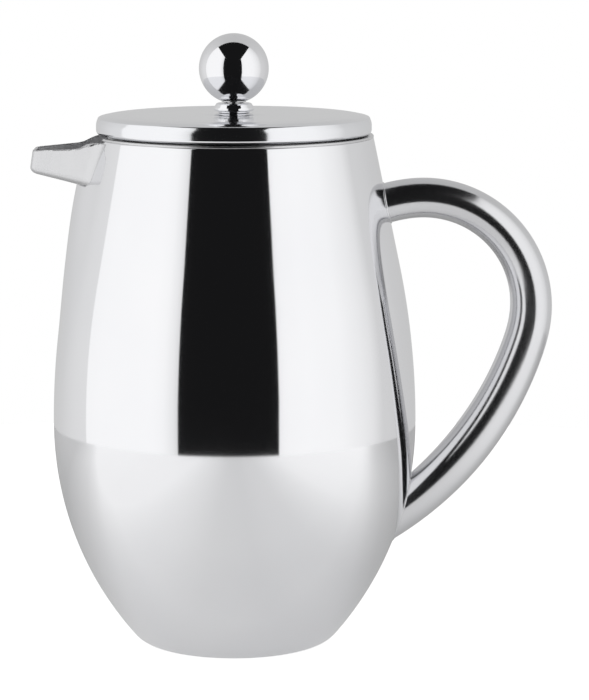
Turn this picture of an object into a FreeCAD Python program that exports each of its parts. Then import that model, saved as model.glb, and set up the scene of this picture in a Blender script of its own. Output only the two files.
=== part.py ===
import FreeCAD, Part
import math
import os

import Sketcher

# Double-walled coffee press with a beak, a hollow loop handle, a drop-in lid and a ball-topped plunger.
# Millimetres, +Z up. The origin is the centre of the base on the surface the pot stands on.
# The beak points along -X and the handle along +X.

SIZES = {
    # pot
    "rim_height": (184.4, "top of the pot's rim above the table"),
    "belly_radius": (65.4, "widest outside radius"),
    "belly_height": (80.0, "height of the widest place"),
    "lower_bow": (118.0, "radius of the wall's bow below the belly"),
    "upper_bow": (280.0, "radius of the wall's bow above the belly"),
    "bow_top": (137.0, "height where the upper bow runs into the straight neck"),
    "foot_round": (10.0, "outside radius between wall and base"),
    "shell_wall": (0.8, "outer shell's sheet"),
    "rim_width": (3.9, "rim from the vessel's bore to the outside"),
    "rim_lip": (0.8, "thickness of the vessel's lip over the shell"),
    "vessel_wall": (0.6, "inner vessel's sheet"),
    "vessel_round": (16.0, "outside radius between the vessel's wall and floor"),
    "vessel_gap": (1.5, "least air gap between vessel and shell"),
    "base_ring": (4.6, "flat ring of the shell round the base disc"),
    "base_lap": (2.0, "lap of the base disc inside the shell"),
    "base_sheet": (0.8, "base disc's sheet"),
    # beak
    "beak_reach": (23.1, "from the rim's outside to the beak's lowest front point"),
    "beak_front_lean": (1.5, "how far the front leans out to its foot"),
    "beak_tip_half": (10.0, "half width at the tip"),
    "beak_root_half": (20.0, "half width at the pot's wall"),
    "beak_lean": (3.0, "how far each side leans in over the beak's depth"),
    "beak_top_root": (3.5, "drop of the beak's edge below the rim beside the pot"),
    "beak_top_tip": (5.0, "drop of the beak's edge below the rim at the tip"),
    "beak_foot_tip": (13.2, "drop of the underside below the rim at the tip"),
    "beak_foot_root": (17.9, "drop of the underside below the rim beside the pot"),
    "beak_sweep": (5.0, "length of the sweep from the rim down to the beak's edge"),
    "beak_wall": (0.9, "beak's sheet"),
    "beak_corner": (2.4, "radius of the tip's corners"),
    # handle
    "grip_radius": (38.9, "centre line's radius round the hand"),
    "grip_stand": (2.4, "grip centre beyond the belly"),
    "grip_drop": (61.5, "grip centre below the rim"),
    "handle_top_turn": (98.6, "degrees from +X to where the grip meets the upper bow"),
    "handle_foot_turn": (16.7, "degrees below +X to where the grip meets the lower bow"),
    "handle_top_bow": (64.5, "centre line's radius at the upper joint"),
    "handle_foot_height": (49.0, "height of the lower joint"),
    "handle_thick": (15.6, "tube's outside diameter"),
    "handle_wall": (1.0, "handle's sheet"),
    "handle_root": (26.0, "degrees of upper bow sunk in before trimming"),
    "handle_tail": (25.0, "length of straight tail sunk in before trimming"),
    # lid
    "lid_gap": (0.3, "lid above the rim"),
    "lid_inset": (0.5, "lid's edge inside the rim's edge"),
    "lid_edge": (6.0, "height of the lid's edge"),
    "lid_round": (3.0, "radius of the top edge"),
    "lid_tuck": (1.5, "radius of the tucked lower edge"),
    "lid_hem": (1.1, "width of the flat hem under the edge"),
    "lid_sheet": (0.8, "lid's sheet"),
    "lid_crown": (0.3, "rise of the top towards the middle"),
    "cone_foot": (9.8, "radius at the foot of the middle cone"),
    "cone_top": (6.3, "radius at the top of the middle cone"),
    "cone_rise": (1.3, "height of the middle cone"),
    "skirt_play": (0.7, "skirt inside the vessel's bore"),
    "skirt_depth": (14.0, "skirt below the liner"),
    "slot_width": (2.4, "straining slot"),
    "slot_height": (8.0, "straining slot"),
    "slot_drop": (3.0, "slots below the liner"),
    "slot_count": (9, "straining slots"),
    "slot_fan": (80.0, "degrees from the first slot to the last"),
    "spigot_radius": (4.6, "collar's threaded spigot"),
    "spigot_length": (10.0, "spigot below the cone's top"),
    "collar_neck": (5.6, "undercut below the ring"),
    "collar_radius": (7.3, "ring at its widest"),
    "collar_top_radius": (6.1, "ring at its top"),
    "collar_height": (3.4, "cone's top to the ring's top"),
    "collar_bore": (3.65, "hole for the guide sleeve"),
    "nut_flats": (14.0, "nut across its flats"),
    "nut_height": (3.4, "nut"),
    "guide_play": (0.05, "guide sleeve in the collar, each side"),
    "guide_flange": (5.3, "radius of the sleeve's flange"),
    "guide_flange_height": (1.2, "sleeve's flange"),
    "guide_gap": (0.3, "flange below the spigot, and sleeve below the ring's top"),
    # plunger
    "rod_radius": (2.5, "plunger rod"),
    "rod_play": (0.05, "rod in the sleeve, each side"),
    "knob_radius": (12.45, "ball knob"),
    "knob_flat": (4.8, "radius of the flat under the knob"),
    "knob_wall": (1.5, "knob's wall"),
    "knob_gap": (0.8, "flat of the knob above the collar"),
    "insert_radius": (4.4, "threaded insert below the flat"),
    "insert_length": (9.0, "insert inside the knob"),
    "insert_nose": (0.4, "insert below the flat"),
    "rod_in_knob": (7.5, "rod inside the knob"),
    "filter_lift": (2.5, "cross plate above the vessel's round"),
    "filter_play": (0.35, "edge spring inside the bore"),
    "cross_sheet": (1.0, "cross plate"),
    "cross_inset": (2.4, "cross plate's edge inside the spring's outside"),
    "cross_windows": (6, "windows in the cross plate"),
    "window_inner": (12.0, "inside radius of a window"),
    "window_margin": (5.0, "cross plate's ring outside the windows"),
    "window_turn": (22.0, "half of a window's sweep in degrees"),
    "mesh_sheet": (0.4, "woven screen"),
    "mesh_inset": (0.2, "screen's edge inside the spring's outside"),
    "plate_sheet": (0.8, "pressure plate"),
    "plate_lip": (3.7, "height of the pressure plate's rim"),
    "coil_radius": (1.9, "edge spring's coil"),
    "inner_holes": (12, "holes in the inner ring"),
    "outer_holes": (24, "holes in the outer ring"),
    "inner_ring": (17.0, "radius of the inner ring of holes"),
    "outer_ring": (30.0, "radius of the outer ring of holes"),
    "plate_hole": (2.4, "radius of a hole"),
    "shoulder_radius": (6.0, "shoulder ring on the rod"),
    "shoulder_height": (2.0, "shoulder ring"),
    "hub_radius": (5.5, "threaded hub under the cross plate"),
    "hub_height": (6.0, "threaded hub"),
    "rod_tip": (1.0, "hub below the rod's end"),
}


class Size:
    """A number together with the sheet expression it is worked out from."""

    def __init__(self, value, text):
        self.value = value
        self.text = text

    def join(self, other, sign, value):
        return Size(value, f"({self.text} {sign} {other.text})")

    def __add__(self, other):
        other = as_size(other)
        return self.join(other, "+", self.value + other.value)

    def __sub__(self, other):
        other = as_size(other)
        return self.join(other, "-", self.value - other.value)

    def __mul__(self, other):
        other = as_size(other)
        return self.join(other, "*", self.value * other.value)

    def __truediv__(self, other):
        other = as_size(other)
        return self.join(other, "/", self.value / other.value)

    def __radd__(self, other):
        return as_size(other) + self

    def __rsub__(self, other):
        return as_size(other) - self

    def __rmul__(self, other):
        return as_size(other) * self

    def __neg__(self):
        return as_size(0) - self


def as_size(number):
    return number if isinstance(number, Size) else Size(float(number), str(float(number)))


def root(size):
    return Size(math.sqrt(size.value), f"sqrt({size.text})")


def cosine(size):
    return Size(math.cos(math.radians(size.value)), f"cos({size.text})")


def sine(size):
    return Size(math.sin(math.radians(size.value)), f"sin({size.text})")


def square(size):
    return size * size


def larger(first, second):
    return Size(max(first.value, second.value), f"max({first.text}; {second.text})")


document = FreeCAD.newDocument("CoffeePress")
sheet = document.addObject("Spreadsheet::Sheet", "Sizes")
for row, (alias, (number, note)) in enumerate(SIZES.items(), start=1):
    sheet.set(f"A{row}", alias)
    sheet.set(f"B{row}", str(number))
    sheet.set(f"C{row}", note)
    sheet.setAlias(f"B{row}", alias)
document.recompute()


def cell(alias):
    return Size(float(sheet.get(alias)), f"Sizes.{alias}")


# ---------------------------------------------------------------- helpers


def bind(thing, slot, size):
    thing.setExpression(slot, as_size(size).text)


def new_body(label):
    body = document.addObject("PartDesign::Body", label)
    body.Label = label
    return body


def plane_of(body, role):
    return next(item for item in body.Origin.OriginFeatures if item.Role == role)


def body_sketch(body, role, lift=None):
    """An empty sketch on one of the body's own planes, lifted along the plane's normal."""
    sketch = body.newObject("Sketcher::SketchObject", "Sketch")
    sketch.AttachmentSupport = [(plane_of(body, role), "")]
    sketch.MapMode = "FlatFace"
    if lift is not None:
        bind(sketch, "AttachmentOffset.Base.z", lift)
    return sketch


def loose_sketch(role, lift=None):
    """An empty sketch outside any body, level for XY or upright for XZ."""
    sketch = document.addObject("Sketcher::SketchObject", "Sketch")
    if role == "XZ_Plane":
        sketch.Placement = FreeCAD.Placement(
            FreeCAD.Vector(), FreeCAD.Rotation(FreeCAD.Vector(1, 0, 0), 90))
    if lift is not None:
        bind(sketch, "Placement.Base.z", lift)
    return sketch


def vector(point):
    return FreeCAD.Vector(as_size(point[0]).value, as_size(point[1]).value, 0)


def bowed_edge(start, end, radius, side):
    """The shorter arc between two points; side +1 bulges to the right of the way there, -1 to the left."""
    first, last = (start, end) if side > 0 else (end, start)
    a = vector(first)
    b = vector(last)
    chord = b - a
    reach = math.sqrt(max(radius * radius - chord.Length ** 2 / 4, 0))
    left = FreeCAD.Vector(-chord.y, chord.x, 0).normalize()
    centre = (a + b) * 0.5 + left * reach
    begin = math.atan2(a.y - centre.y, a.x - centre.x)
    finish = math.atan2(b.y - centre.y, b.x - centre.x)
    if finish < begin:
        finish += 2 * math.pi
    return Part.ArcOfCircle(Part.Circle(centre, FreeCAD.Vector(0, 0, 1), radius), begin, finish)


def pin_point(sketch, edge, end, point):
    """Fixes one end of an edge at a place worked out from the sheet."""
    for name, axis, across in (("DistanceX", -2, point[0]), ("DistanceY", -1, point[1])):
        across = as_size(across)
        if across.text == "0.0":
            sketch.addConstraint(Sketcher.Constraint("PointOnObject", edge, end, axis))
        else:
            index = sketch.addConstraint(Sketcher.Constraint(name, edge, end, across.value))
            bind(sketch, f"Constraints[{index}]", across)


def draw(sketch, points, bows=None, closed=True):
    """Draws edges through the points. bows holds {edge number: (radius, side)} for arcs."""
    bows = bows or {}
    count = len(points)
    edges = count if closed else count - 1
    ends = []
    for index in range(edges):
        start = points[index]
        end = points[(index + 1) % count]
        if index in bows:
            radius, side = bows[index]
            edge = sketch.addGeometry(bowed_edge(start, end, as_size(radius).value, side), False)
            ends.append((edge, 1, 2) if side > 0 else (edge, 2, 1))
            constraint = sketch.addConstraint(
                Sketcher.Constraint("Radius", edge, as_size(radius).value))
            bind(sketch, f"Constraints[{constraint}]", radius)
        else:
            edge = sketch.addGeometry(Part.LineSegment(vector(start), vector(end)), False)
            ends.append((edge, 1, 2))
    for index in range(edges):
        edge, first, last = ends[index]
        if closed or index < edges - 1:
            after = ends[(index + 1) % edges]
            sketch.addConstraint(Sketcher.Constraint("Coincident", edge, last, after[0], after[1]))
        else:
            pin_point(sketch, edge, last, points[-1])
        pin_point(sketch, edge, first, points[index])
    return sketch


def ring(sketch, centre, radius):
    """Draws a circle at a place worked out from the sheet."""
    radius = as_size(radius)
    circle = Part.Circle(vector(centre), FreeCAD.Vector(0, 0, 1), radius.value)
    edge = sketch.addGeometry(circle, False)
    index = sketch.addConstraint(Sketcher.Constraint("Radius", edge, radius.value))
    bind(sketch, f"Constraints[{index}]", radius)
    pin_point(sketch, edge, 3, centre)
    return sketch


def turned(label, points, bows=None):
    """A piece turned about the pot's axis from an outline of (radius, height) points."""
    body = new_body(label)
    profile = draw(body_sketch(body, "XZ_Plane"), points, bows)
    turn = body.newObject("PartDesign::Revolution", "Turn")
    turn.Profile = profile
    turn.ReferenceAxis = (profile, ["V_Axis"])
    turn.Angle = 360
    return body


def cut_through(body, sketch, depth):
    """A pocket of the given depth, half to each side of its sketch."""
    pocket = body.newObject("PartDesign::Pocket", "Cut")
    pocket.Profile = sketch
    pocket.Midplane = True
    bind(pocket, "Length", depth)
    return pocket


def repeat_round(body, feature, count, sweep=None):
    """Repeats a feature about the body's Z axis."""
    pattern = body.newObject("PartDesign::PolarPattern", "Repeat")
    pattern.Originals = [feature]
    pattern.Axis = (plane_of(body, "Z_Axis"), [""])
    bind(pattern, "Occurrences", count)
    if sweep is None:
        pattern.Angle = 360
    else:
        bind(pattern, "Angle", sweep)
    body.Tip = pattern
    return pattern


def boolean(kind, base, tool, label):
    piece = document.addObject(f"Part::{kind}", label)
    piece.Base = base
    piece.Tool = tool
    piece.Label = label
    return piece


# ---------------------------------------------------------------- shared heights and radii

rim_height = cell("rim_height")
belly_radius = cell("belly_radius")
belly_height = cell("belly_height")
lower_bow = cell("lower_bow")
upper_bow = cell("upper_bow")
bow_top = cell("bow_top")
shell_wall = cell("shell_wall")

lower_centre = belly_radius - lower_bow
upper_centre = belly_radius - upper_bow
bow_rise = bow_top - belly_height
bow_run = root(square(upper_bow) - square(bow_rise))
neck_slope = bow_rise / bow_run
neck_foot = upper_centre + bow_run
neck_secant = upper_bow / bow_run


def neck_radius(height):
    """Outside radius of the straight neck."""
    return neck_foot - (height - bow_top) * neck_slope


def belly_below(height):
    """Outside radius of the shell below the belly."""
    return lower_centre + root(square(lower_bow) - square(belly_height - height))


rim_radius = neck_radius(rim_height)
bore_radius = rim_radius - cell("rim_width")
vessel_outside = bore_radius + cell("vessel_wall")
lid_bottom = rim_height + cell("lid_gap")
lid_radius = rim_radius - cell("lid_inset")
lid_top = lid_bottom + cell("lid_edge")
cone_top_height = lid_top + cell("lid_crown") + cell("cone_rise")
collar_top = cone_top_height + cell("collar_height")
spigot_bottom = cone_top_height - cell("spigot_length")
liner_bottom = lid_bottom + cell("lid_sheet")
knob_bottom = collar_top + cell("knob_gap")

foot_round = cell("foot_round")
foot_reach = lower_bow - foot_round
foot_centre = lower_centre + root(square(foot_reach) - square(belly_height - foot_round))
base_radius = foot_centre - cell("base_ring")

round_centre = vessel_outside - cell("vessel_round")
round_reach = lower_bow - shell_wall - cell("vessel_round") - cell("vessel_gap")
clear_of_wall = belly_height - root(square(round_reach) - square(round_centre - lower_centre))
clear_of_base = shell_wall + cell("base_sheet") + cell("vessel_gap") + cell("vessel_round")
round_height = larger(clear_of_wall, clear_of_base)

cross_bottom = round_height + cell("filter_lift")
cross_top = cross_bottom + cell("cross_sheet")
mesh_top = cross_top + cell("mesh_sheet")
plate_top = mesh_top + cell("plate_sheet")
filter_radius = bore_radius - cell("filter_play")
hub_bottom = cross_bottom - cell("hub_height")


# ---------------------------------------------------------------- pot


def shell_line(inset):
    """The shell's outline from its flat foot to the rim, moved inward by inset."""
    share = (lower_bow - inset) / foot_reach
    foot = (foot_centre, inset)
    heel = (lower_centre + (foot_centre - lower_centre) * share,
            belly_height - (belly_height - foot_round) * share)
    belly = (belly_radius - inset, belly_height)
    bow_share = (upper_bow - inset) / upper_bow
    shoulder = (upper_centre + bow_run * bow_share, belly_height + bow_rise * bow_share)
    lip_height = rim_height - cell("rim_lip")
    mouth = (neck_radius(lip_height) - inset * neck_secant, lip_height)
    bows = [foot_round - inset, lower_bow - inset, upper_bow - inset]
    return [foot, heel, belly, shoulder, mouth], bows


def shell_blank():
    outside, bows = shell_line(as_size(0))
    inside, inner_bows = shell_line(shell_wall)
    points = [(base_radius, 0)] + outside + inside[::-1] + [(base_radius, shell_wall)]
    arcs = {index + 1: (radius, 1) for index, radius in enumerate(bows)}
    arcs.update({index + 7: (radius, -1) for index, radius in enumerate(inner_bows[::-1])})
    return turned("outer_shell_blank", points, arcs)


def vessel_blank():
    wall = cell("vessel_wall")
    lip = rim_height - cell("rim_lip")
    floor = round_height - cell("vessel_round")
    points = [
        (0, floor), (round_centre, floor), (vessel_outside, round_height), (vessel_outside, lip),
        (neck_radius(lip), lip), (rim_radius, rim_height), (bore_radius, rim_height),
        (bore_radius, round_height), (round_centre, floor + wall), (0, floor + wall),
    ]
    arcs = {1: (cell("vessel_round"), 1), 7: (cell("vessel_round") - wall, -1)}
    return turned("inner_vessel_blank", points, arcs)


def base_cap():
    lap = base_radius + cell("base_lap")
    sheet_top = shell_wall + cell("base_sheet")
    points = [(0, 0), (base_radius, 0), (base_radius, shell_wall), (lap, shell_wall), (lap, sheet_top),
              (0, sheet_top)]
    return turned("base_cap", points)


def beak_plan(drop, inset):
    """Level outline of the beak at a depth below the rim, moved inward by inset, drawn along +X."""
    depth = cell("beak_foot_root")
    lean_in = cell("beak_lean") * drop / depth
    front_depth = cell("beak_foot_tip")
    lean_out = cell("beak_front_lean") * (front_depth - drop) / front_depth
    tip = rim_radius + cell("beak_reach") - lean_out - inset
    tip_half = cell("beak_tip_half") - lean_in - inset
    root_half = cell("beak_root_half") - lean_in - inset
    flare = (root_half - tip_half) / cell("beak_reach")
    back = bore_radius * 0.7
    back_half = root_half + flare * (rim_radius - back)
    corner = cell("beak_corner") - inset
    return [
        (back, -back_half), (tip - corner, -(tip_half + flare * corner)),
        (tip, -(tip_half - corner)), (tip, tip_half - corner),
        (tip - corner, tip_half + flare * corner), (back, back_half),
    ]


def beak_loft(label, inset):
    """The beak's tapered sides between two level outlines, from above the rim to below the underside."""
    above = cell("rim_lip")
    below = cell("beak_foot_root") * 1.4
    sections = []
    for drop in (-above, below):
        sketch = loose_sketch("XY_Plane", rim_height - drop)
        sections.append(draw(sketch, beak_plan(drop, inset)))
    loft = document.addObject("Part::Loft", label)
    loft.Sections = sections
    loft.Solid = True
    loft.Ruled = True
    return loft


def side_slab(label, points):
    """A slab across the beak with the given (distance, height) outline."""
    slab = document.addObject("Part::Extrusion", label)
    slab.Base = draw(loose_sketch("XZ_Plane"), points)
    slab.DirMode = "Normal"
    slab.Symmetric = True
    slab.Solid = True
    bind(slab, "LengthFwd", cell("beak_root_half") * 6)
    return slab


def beak_side(inset, open_top):
    """Side outline of the beak, with its underside moved up by inset."""
    tip = rim_radius + cell("beak_reach")
    back = bore_radius * 0.8
    foot_tip = cell("beak_foot_tip")
    foot_root = cell("beak_foot_root")
    fall = (foot_root - foot_tip) / cell("beak_reach")
    beyond = tip + cell("rim_lip")
    underside = rim_height - foot_tip + inset
    points = [
        (back, underside - fall * (tip - back)), (beyond, underside + fall * (beyond - tip)),
    ]
    if open_top:
        above = rim_height + cell("rim_lip")
        return points + [(beyond, above), (back, above)]
    sweep_end = rim_radius + cell("beak_sweep")
    edge_root = rim_height - cell("beak_top_root")
    edge_tip = rim_height - cell("beak_top_tip")
    return points + [
        (beyond, edge_tip), (tip, edge_tip), (sweep_end, edge_root), (rim_radius, rim_height),
        (back, rim_height),
    ]


def turn_to_beak_side(piece):
    """The beak is drawn along +X and stands along -X."""
    piece.Placement = FreeCAD.Placement(
        FreeCAD.Vector(), FreeCAD.Rotation(FreeCAD.Vector(0, 0, 1), 180))


def bore_plug():
    plug = document.addObject("Part::Cylinder", "bore_plug")
    bind(plug, "Radius", bore_radius)
    bind(plug, "Height", rim_height * 2)
    return plug


def pot_with_beak():
    """The beak, and the shell and vessel cut to take it."""
    outer_loft = beak_loft("beak_sides", as_size(0))
    notch = boolean("Common", outer_loft, side_slab("notch_slab", beak_side(as_size(0), True)), "beak_notch")
    closed_slab = side_slab("beak_slab", beak_side(as_size(0), False))
    outside = boolean("Common", outer_loft, closed_slab, "beak_outside")
    wall = cell("beak_wall")
    hollow = boolean("Common", beak_loft("hollow_sides", wall),
                     side_slab("hollow_slab", beak_side(wall, True)), "beak_hollow")
    trough = boolean("Cut", outside, hollow, "beak_trough")
    spout = boolean("Cut", trough, bore_plug(), "spout")
    turn_to_beak_side(spout)
    turn_to_beak_side(notch)
    shell = boolean("Cut", shell_blank(), notch, "outer_shell")
    vessel = boolean("Cut", vessel_blank(), notch, "inner_vessel")
    return [shell, vessel, spout]


def handle_half(label, side):
    """One pressed half of the handle; side -1 is the front half and +1 the back half."""
    grip = cell("grip_radius")
    centre = (belly_radius + cell("grip_stand"), rim_height - cell("grip_drop"))
    top_turn = cell("handle_top_turn")
    top_bow = cell("handle_top_bow")
    foot_turn = cell("handle_foot_turn")
    top_way = (cosine(top_turn), sine(top_turn))
    foot_way = (cosine(foot_turn), -sine(foot_turn))
    grip_start = (centre[0] + grip, centre[1])
    top_meet = (centre[0] + grip * top_way[0], centre[1] + grip * top_way[1])
    top_centre = tuple(middle - (top_bow - grip) * way for middle, way in zip(centre, top_way))
    sunk = top_turn + cell("handle_root")
    top_end = (top_centre[0] + top_bow * cosine(sunk), top_centre[1] + top_bow * sine(sunk))

    foot_meet = (centre[0] + grip * foot_way[0], centre[1] + grip * foot_way[1])
    joint_height = cell("handle_foot_height")
    joint = (belly_below(joint_height), joint_height)
    offset = (joint[0] - centre[0], joint[1] - centre[1])
    along = offset[0] * foot_way[0] + offset[1] * foot_way[1]
    gap = square(joint[0] - foot_meet[0]) + square(joint[1] - foot_meet[1])
    foot_bow = gap / ((grip - along) * 2)
    foot_centre = tuple(middle - (foot_bow - grip) * way for middle, way in zip(centre, foot_way))
    tail = cell("handle_tail") / foot_bow
    foot_end = (joint[0] + (joint[1] - foot_centre[1]) * tail, joint[1] - (joint[0] - foot_centre[0]) * tail)

    body = new_body(label)
    upper = draw(body_sketch(body, "XZ_Plane"), [grip_start, top_meet, top_end],
                 {0: (grip, 1), 1: (top_bow, 1)}, closed=False)
    lower = draw(body_sketch(body, "XZ_Plane"), [grip_start, foot_meet, joint, foot_end],
                 {0: (grip, -1), 1: (foot_bow, -1)}, closed=False)
    for way in (upper, lower):
        section = body_sketch(body, "XY_Plane", centre[1])
        half_ring(section, grip_start[0], side)
        pipe = body.newObject("PartDesign::AdditivePipe", "Sweep")
        pipe.Profile = section
        pipe.Spine = (way, [])
        pipe.Mode = "Binormal"
        pipe.Binormal = FreeCAD.Vector(0, 1, 0)
    outside, bows = shell_line(as_size(0))
    points = [(0, 0)] + outside + [(0, rim_height - cell("rim_lip"))]
    arcs = {index + 1: (radius, 1) for index, radius in enumerate(bows)}
    envelope = draw(body_sketch(body, "XZ_Plane"), points, arcs)
    trim = body.newObject("PartDesign::Groove", "TrimToShell")
    trim.Profile = envelope
    trim.ReferenceAxis = (envelope, ["V_Axis"])
    trim.Angle = 360
    return body


def half_ring(sketch, middle, side):
    """Half of the tube's round section, on one side of the loop's plane."""
    outer = cell("handle_thick") / 2
    inner = outer - cell("handle_wall")
    points = [(middle - outer, 0), (middle, outer * side), (middle + outer, 0),
              (middle + inner, 0), (middle, inner * side), (middle - inner, 0)]
    return draw(sketch, points, {0: (outer, -side), 1: (outer, -side), 3: (inner, side), 4: (inner, side)})


# ---------------------------------------------------------------- lid


def lid_cap():
    gauge = cell("lid_sheet")
    tuck = cell("lid_tuck")
    bend = cell("lid_round")
    hem = lid_radius - tuck
    crown = lid_top + cell("lid_crown")
    spigot = cell("spigot_radius")
    foot = cell("cone_foot")
    cone = cell("cone_top")
    points = [
        (hem - cell("lid_hem"), lid_bottom), (hem, lid_bottom), (lid_radius, lid_bottom + tuck),
        (lid_radius, lid_top - bend), (lid_radius - bend, lid_top), (foot, crown),
        (cone, cone_top_height), (spigot, cone_top_height), (spigot, cone_top_height - gauge),
        (cone, cone_top_height - gauge), (foot, crown - gauge), (lid_radius - bend, lid_top - gauge),
        (lid_radius - gauge, lid_top - bend), (lid_radius - gauge, lid_bottom + tuck),
        (hem, lid_bottom + gauge), (hem - cell("lid_hem"), lid_bottom + gauge),
    ]
    arcs = {1: (tuck, 1), 3: (bend, 1), 11: (bend - gauge, -1), 13: (tuck - gauge, -1)}
    return turned("lid_cap", points, arcs)


def lid_liner():
    gauge = cell("lid_sheet")
    edge = lid_radius - cell("lid_tuck")
    spigot = cell("spigot_radius")
    points = [(spigot, liner_bottom), (edge, liner_bottom), (edge, liner_bottom + gauge),
              (spigot, liner_bottom + gauge)]
    return turned("lid_liner", points)


def lid_skirt():
    gauge = cell("lid_sheet")
    outside = bore_radius - cell("skirt_play")
    inside = outside - gauge
    bottom = liner_bottom - cell("skirt_depth")
    body = turned("lid_skirt", [(inside, bottom), (outside, bottom), (outside, liner_bottom),
                                (inside, liner_bottom)])
    top = liner_bottom - cell("slot_drop")
    foot = top - cell("slot_height")
    window = draw(body_sketch(body, "XZ_Plane"), [
        (inside - gauge, foot), (outside + gauge, foot), (outside + gauge, top), (inside - gauge, top)])
    document.recompute()
    slot = cut_through(body, window, cell("slot_width"))
    repeat_round(body, slot, cell("slot_count"), cell("slot_fan"))
    body.Placement = FreeCAD.Placement(FreeCAD.Vector(), FreeCAD.Rotation(FreeCAD.Vector(0, 0, 1), 180))
    bind(body, "Placement.Rotation.Angle", 180 - cell("slot_fan") / 2)
    return body


def lid_collar():
    neck = cell("collar_neck")
    spigot = cell("spigot_radius")
    bore = cell("collar_bore")
    height = cell("collar_height")
    top = cell("collar_top_radius")
    widest = cell("collar_radius")
    points = [
        (bore, spigot_bottom), (spigot, spigot_bottom), (spigot, cone_top_height), (neck, cone_top_height),
        (neck, cone_top_height + height * 0.12), (widest - 0.3, cone_top_height + height * 0.22),
        (widest, cone_top_height + height * 0.38), (top, collar_top - 0.2), (top - 0.2, collar_top),
        (bore, collar_top),
    ]
    return turned("lid_collar", points)


def collar_nut():
    body = new_body("collar_nut")
    apothem = cell("nut_flats") / 2
    circle = apothem / cosine(as_size(30))
    corners = [(circle * cosine(as_size(60 * turn)), circle * sine(as_size(60 * turn))) for turn in range(6)]
    corners[0] = (circle, 0)
    corners[3] = (-circle, 0)
    blank = draw(body_sketch(body, "XY_Plane", liner_bottom - cell("nut_height")), corners)
    pad = body.newObject("PartDesign::Pad", "Nut")
    pad.Profile = blank
    bind(pad, "Length", cell("nut_height"))
    document.recompute()
    hole = ring(body_sketch(body, "XY_Plane", liner_bottom), (0, 0), cell("spigot_radius"))
    cut_through(body, hole, cell("nut_height") * 3)
    return body


def rod_guide():
    bore = cell("rod_radius") + cell("rod_play")
    outside = cell("collar_bore") - cell("guide_play")
    flange_top = spigot_bottom - cell("guide_gap")
    flange_bottom = flange_top - cell("guide_flange_height")
    flange = cell("guide_flange")
    top = collar_top - cell("guide_gap")
    points = [(bore, flange_bottom), (flange, flange_bottom), (flange, flange_top), (outside, flange_top),
              (outside, top), (bore, top)]
    return turned("rod_guide", points)


# ---------------------------------------------------------------- plunger


def knob_ball():
    radius = cell("knob_radius")
    flat = cell("knob_flat")
    hollow = radius - cell("knob_wall")
    centre = knob_bottom + root(square(radius) - square(flat))
    points = [(flat, knob_bottom), (0, centre + radius), (0, centre + hollow),
              (flat, centre - root(square(hollow) - square(flat)))]
    return turned("knob_ball", points, {0: (radius, 1), 2: (hollow, -1)})


def knob_insert():
    rod = cell("rod_radius")
    nose = knob_bottom - cell("insert_nose")
    top = knob_bottom + cell("insert_length")
    seat = knob_bottom + cell("rod_in_knob")
    points = [(rod, nose), (cell("insert_radius"), nose), (cell("insert_radius"), knob_bottom),
              (cell("knob_flat"), knob_bottom), (cell("knob_flat"), top), (0, top), (0, seat), (rod, seat)]
    return turned("knob_insert", points)


def plunger_rod():
    rod = cell("rod_radius")
    foot = hub_bottom + cell("rod_tip")
    top = knob_bottom + cell("rod_in_knob")
    return turned("plunger_rod", [(0, foot), (rod, foot), (rod, top), (0, top)])


def washer(label, bottom, height, radius):
    rod = cell("rod_radius")
    return turned(label, [(rod, bottom), (radius, bottom), (radius, bottom + height), (rod, bottom + height)])


def pressure_plate():
    gauge = cell("plate_sheet")
    outside = filter_radius - cell("coil_radius") * 2
    rod = cell("rod_radius")
    lip = mesh_top + cell("plate_lip")
    body = turned("pressure_plate", [
        (rod, mesh_top), (outside, mesh_top), (outside, lip), (outside - gauge, lip),
        (outside - gauge, plate_top), (rod, plate_top)])
    for place in ("inner", "outer"):
        document.recompute()
        middle = (cell(f"{place}_ring"), 0)
        hole = ring(body_sketch(body, "XY_Plane", mesh_top), middle, cell("plate_hole"))
        cut = cut_through(body, hole, gauge * 4)
        repeat_round(body, cut, cell(f"{place}_holes"))
    return body


def edge_spring():
    """The coil's outer form: a ring as thick as the coil, standing just clear of the screen."""
    coil = cell("coil_radius")
    spring = document.addObject("Part::Torus", "edge_spring")
    spring.Label = "edge_spring"
    bind(spring, "Radius1", filter_radius - coil)
    bind(spring, "Radius2", coil)
    bind(spring, "Placement.Base.z", mesh_top + coil + cell("plate_sheet") / 4)
    return spring


def cross_plate():
    outside = filter_radius - cell("cross_inset")
    body = washer("cross_plate", cross_bottom, cell("cross_sheet"), outside)
    inner = cell("window_inner")
    outer = outside - cell("window_margin")
    turn = cell("window_turn")
    window = [
        (inner * cosine(turn), -inner * sine(turn)), (outer * cosine(turn), -outer * sine(turn)),
        (outer * cosine(turn), outer * sine(turn)), (inner * cosine(turn), inner * sine(turn)),
    ]
    document.recompute()
    sketch = draw(body_sketch(body, "XY_Plane", cross_bottom), window, {1: (outer, 1), 3: (inner, -1)})
    cut = cut_through(body, sketch, cell("cross_sheet") * 4)
    repeat_round(body, cut, cell("cross_windows"))
    return body


pieces = pot_with_beak()
pieces += [base_cap(), handle_half("handle_front_half", -1), handle_half("handle_back_half", 1)]
pieces += [lid_cap(), lid_liner(), lid_skirt(), lid_collar(), collar_nut(), rod_guide()]
pieces += [knob_ball(), knob_insert(), plunger_rod()]
pieces += [
    washer("rod_shoulder", plate_top, cell("shoulder_height"), cell("shoulder_radius")),
    pressure_plate(),
    edge_spring(),
    washer("filter_screen", cross_top, cell("mesh_sheet"), filter_radius - cell("mesh_inset")),
    cross_plate(),
    washer("cross_hub", hub_bottom, cell("hub_height"), cell("hub_radius")),
]
document.recompute()

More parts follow.
